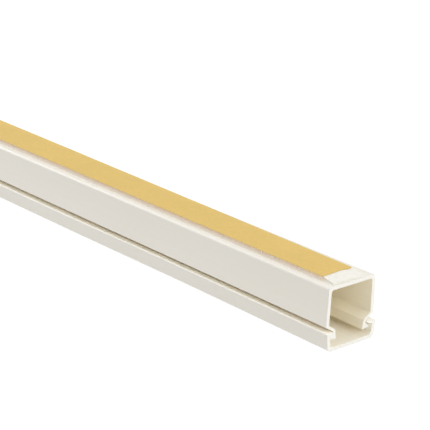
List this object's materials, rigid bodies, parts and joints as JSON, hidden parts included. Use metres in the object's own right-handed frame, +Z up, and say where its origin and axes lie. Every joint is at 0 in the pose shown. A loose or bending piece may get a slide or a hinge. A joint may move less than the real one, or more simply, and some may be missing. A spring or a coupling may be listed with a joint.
{
  "type": "cord cover raceway",
  "caption": "Square two-piece plastic raceway that hides cords: an adhesive-backed base channel with splayed walls and a lid that snaps into grooves in its lips.",
  "frame": {"origin": "middle of the length and width, on the lid's outer face, which the raceway lies on", "axes": "+X along the length towards the end where the liner stops short, +Z up, out of the taped back"},
  "size_m": [0.4008, 0.0162, 0.0172],
  "materials": {
    "ivory_pvc": "satin",
    "foam": "matte",
    "liner_paper": "satin"
  },
  "bodies": {
    "root": {"base_channel": "ivory_pvc", "snap_lid": "ivory_pvc", "foam_tape": "foam", "release_liner": "liner_paper"}
  },
  "joints": []
}
